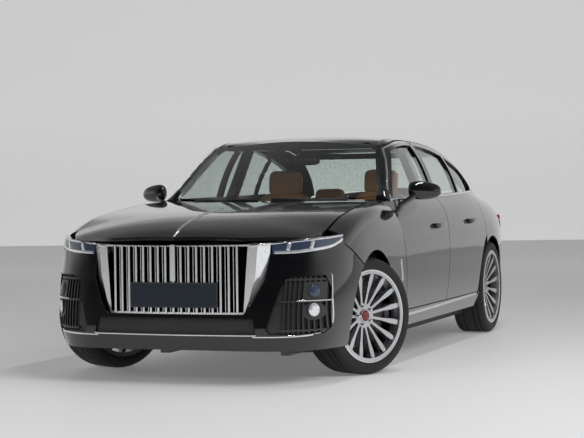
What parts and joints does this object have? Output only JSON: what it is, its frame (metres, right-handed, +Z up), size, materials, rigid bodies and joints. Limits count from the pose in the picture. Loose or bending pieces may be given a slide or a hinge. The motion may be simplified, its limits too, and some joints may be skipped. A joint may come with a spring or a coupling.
{
  "type": "sedan car",
  "caption": "Four-door saloon car with opening doors, hood and trunk lid, steered front wheels, an upright-bar grille and a tan interior.",
  "frame": {"origin": "on the ground under the middle of the car's bounding box", "axes": "+X forward, +Y to the car's left, +Z up"},
  "size_m": [5.1395, 2.144, 1.4931],
  "materials": {
    "paint": "gloss black",
    "body_steel": "satin dark grey",
    "chrome": "polished",
    "glass": "clear, lightly tinted",
    "lamp": "clear lens",
    "tail_lens": "red lens",
    "tyre": "matt",
    "alloy": "machined silver",
    "steel": "bare",
    "engine": "cast",
    "leather": "tan",
    "dash": "soft dark",
    "black_plastic": "satin",
    "exhaust_steel": "brushed"
  },
  "bodies": {
    "body": {"platform": "body_steel", "side_frame_left": "paint", "side_frame_right": "paint", "roof": "paint", "windscreen": "glass", "rear_window": "glass", "fender_left": "paint", "fender_right": "paint", "front_bumper": "paint", "bumper_inserts": "black_plastic", "grille": "chrome", "headlamps": "lamp", "rear_bumper": "paint", "tail_lamps": "tail_lens", "dashboard": "dash", "front_seats": "leather", "rear_seat": "leather", "centre_console": "dash", "engine": "engine", "front_subframe": "steel", "front_arms": "steel", "rear_subframe": "steel", "exhaust": "exhaust_steel"},
    "hood": {"hood": "paint"},
    "trunk_lid": {"trunk_lid": "paint"},
    "steering_wheel": {"steering_wheel": "leather"},
    "knuckle_left": {"knuckle_left": "steel"},
    "knuckle_right": {"knuckle_right": "steel"},
    "door_front_left": {"door_front_left": "paint", "glass_front_left": "glass"},
    "wheel_front_left": {"tyre_front_left": "tyre", "rim_front_left": "alloy"},
    "door_front_right": {"door_front_right": "paint", "glass_front_right": "glass"},
    "wheel_front_right": {"tyre_front_right": "tyre", "rim_front_right": "alloy"},
    "door_rear_left": {"door_rear_left": "paint", "glass_rear_left": "glass"},
    "wheel_rear_left": {"tyre_rear_left": "tyre", "rim_rear_left": "alloy"},
    "door_rear_right": {"door_rear_right": "paint", "glass_rear_right": "glass"},
    "wheel_rear_right": {"tyre_rear_right": "tyre", "rim_rear_right": "alloy"}
  },
  "joints": [
    {"name": "door_front_left_swing", "type": "hinge", "parent": "body", "child": "door_front_left", "pos_m": [1.0575, 0.946, 0.7], "axis": [0, 0, -1], "range_deg": [0, 68]},
    {"name": "door_rear_left_swing", "type": "hinge", "parent": "body", "child": "door_rear_left", "pos_m": [-0.0095, 0.946, 0.7], "axis": [0, 0, -1], "range_deg": [0, 70]},
    {"name": "door_front_right_swing", "type": "hinge", "parent": "body", "child": "door_front_right", "pos_m": [1.0575, -0.946, 0.7], "axis": [0, 0, 1], "range_deg": [0, 68]},
    {"name": "door_rear_right_swing", "type": "hinge", "parent": "body", "child": "door_rear_right", "pos_m": [-0.0095, -0.946, 0.7], "axis": [0, 0, 1], "range_deg": [0, 70]},
    {"name": "hood_lift", "type": "hinge", "parent": "body", "child": "hood", "pos_m": [0.985, 0, 1.02], "axis": [0, -1, 0], "range_deg": [0, 50]},
    {"name": "trunk_lift", "type": "hinge", "parent": "body", "child": "trunk_lid", "pos_m": [-1.768, 0, 1.1], "axis": [0, 1, 0], "range_deg": [0, 80]},
    {"name": "steer_left", "type": "hinge", "parent": "body", "child": "knuckle_left", "pos_m": [1.6785, 0.815, 0.352], "axis": [0, 0, 1], "range_deg": [-9.7, 62.3]},
    {"name": "wheel_front_left_spin", "type": "hinge", "parent": "knuckle_left", "child": "wheel_front_left", "pos_m": [1.6785, 0.815, 0.352], "axis": [0.4431, 0.8965, 0], "continuous": true},
    {"name": "wheel_rear_left_spin", "type": "hinge", "parent": "body", "child": "wheel_rear_left", "pos_m": [-1.3815, 0.815, 0.352], "axis": [0, 1, 0], "continuous": true},
    {"name": "steer_right", "type": "hinge", "parent": "body", "child": "knuckle_right", "pos_m": [1.6785, -0.815, 0.352], "axis": [0, 0, 1], "range_deg": [-9.7, 62.3]},
    {"name": "wheel_front_right_spin", "type": "hinge", "parent": "knuckle_right", "child": "wheel_front_right", "pos_m": [1.6785, -0.815, 0.352], "axis": [0.4431, 0.8965, 0], "continuous": true},
    {"name": "wheel_rear_right_spin", "type": "hinge", "parent": "body", "child": "wheel_rear_right", "pos_m": [-1.3815, -0.815, 0.352], "axis": [0, 1, 0], "continuous": true},
    {"name": "steering_wheel_turn", "type": "hinge", "parent": "body", "child": "steering_wheel", "pos_m": [0.43, 0.37, 0.83], "axis": [-0.9063, 0, 0.4226], "range_deg": [-135.8, 872.2]}
  ],
  "couplings": [
    {"joint": "steer_right", "follows": "steer_left", "ratio": 1},
    {"joint": "steering_wheel_turn", "follows": "steer_left", "ratio": 14}
  ]
}
